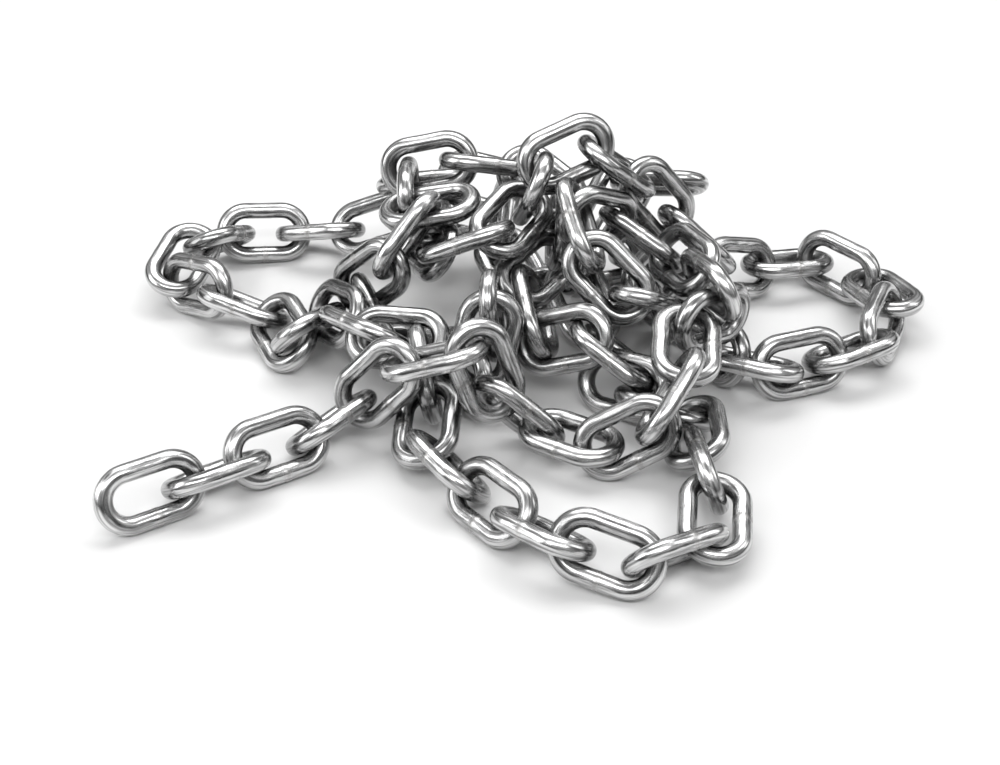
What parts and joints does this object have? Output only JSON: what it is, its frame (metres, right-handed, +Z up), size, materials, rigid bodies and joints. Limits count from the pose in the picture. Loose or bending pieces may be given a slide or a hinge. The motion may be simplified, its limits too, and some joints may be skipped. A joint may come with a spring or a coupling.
{
  "type": "heap of iron chain",
  "caption": "Tangled heap of bright welded steel chain with oval links, its free end run out along the floor.",
  "frame": {"origin": "centre of the heap's box, on the floor that it lies on", "axes": "+Z up, +X to the right and +Y to the back, seen from the front, where the tail runs out to the left"},
  "size_m": [0.2798, 0.2182, 0.0804],
  "materials": {
    "bright_steel": "bright polished wire with fine drawing marks, darker in the hollows between links"
  },
  "bodies": {
    "root": {"arch_run": "bright_steel", "back_run": "bright_steel", "core_run": "bright_steel", "filling_run": "bright_steel", "front_loop_link_1": "bright_steel", "front_loop_link_2": "bright_steel", "front_loop_link_3": "bright_steel", "front_loop_link_4": "bright_steel", "front_loop_link_5": "bright_steel", "front_loop_link_6": "bright_steel", "front_loop_link_7": "bright_steel", "front_loop_link_8": "bright_steel", "inner_fall_run": "bright_steel", "inner_right_link_1": "bright_steel", "inner_right_link_2": "bright_steel", "left_crest_link_1": "bright_steel", "left_crest_link_2": "bright_steel", "left_crest_link_3": "bright_steel", "left_crest_link_4": "bright_steel", "left_crest_link_5": "bright_steel", "left_loop_link_1": "bright_steel", "left_loop_link_2": "bright_steel", "left_loop_link_3": "bright_steel", "left_loop_link_4": "bright_steel", "left_loop_link_5": "bright_steel", "left_loop_link_6": "bright_steel", "left_loop_link_7": "bright_steel", "left_loop_link_8": "bright_steel", "left_loop_link_9": "bright_steel", "left_slope_run": "bright_steel", "middle_link_1": "bright_steel", "middle_link_2": "bright_steel", "middle_link_3": "bright_steel", "middle_link_4": "bright_steel", "middle_link_5": "bright_steel", "middle_link_6": "bright_steel", "middle_link_7": "bright_steel", "right_loop_link_1": "bright_steel", "right_loop_link_2": "bright_steel", "right_loop_link_3": "bright_steel", "right_loop_link_4": "bright_steel", "right_loop_link_5": "bright_steel", "right_loop_link_6": "bright_steel", "right_loop_link_7": "bright_steel", "right_loop_link_8": "bright_steel", "right_loop_link_9": "bright_steel", "right_slope_link_1": "bright_steel", "right_slope_link_2": "bright_steel", "right_slope_link_3": "bright_steel", "right_slope_link_4": "bright_steel", "right_slope_link_5": "bright_steel", "right_slope_link_6": "bright_steel", "tail_link_1": "bright_steel", "tail_link_2": "bright_steel", "tail_link_3": "bright_steel", "tail_link_4": "bright_steel", "tail_link_5": "bright_steel", "tail_link_6": "bright_steel", "under_crest_run": "bright_steel", "under_tail_run": "bright_steel"}
  },
  "joints": []
}
